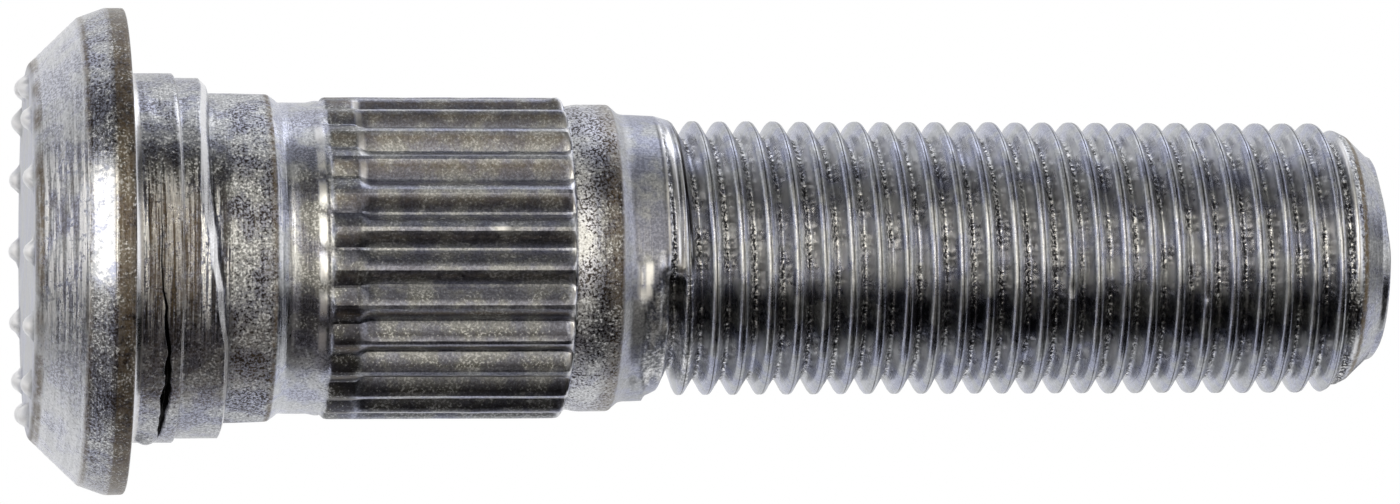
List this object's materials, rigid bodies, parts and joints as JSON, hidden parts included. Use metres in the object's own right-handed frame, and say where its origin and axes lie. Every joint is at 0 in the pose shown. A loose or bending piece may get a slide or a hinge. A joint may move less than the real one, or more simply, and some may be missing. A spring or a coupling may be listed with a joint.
{
  "type": "wheel stud",
  "caption": "Headed steel wheel stud with a conical head, a collar, a straight serration that presses into a hub, and a long threaded end for a lug nut.",
  "frame": {"origin": "on the axis, at the plane of the pips under the head that the stud stands on", "axes": "+Z along the axis, from the head to the threaded point"},
  "size_m": [0.0224, 0.0224, 0.0635],
  "materials": {
    "zinc_plated_steel": "bright zinc plating over cold-formed steel, worn and speckled"
  },
  "bodies": {
    "root": {"wheel_stud": "zinc_plated_steel"}
  },
  "joints": []
}
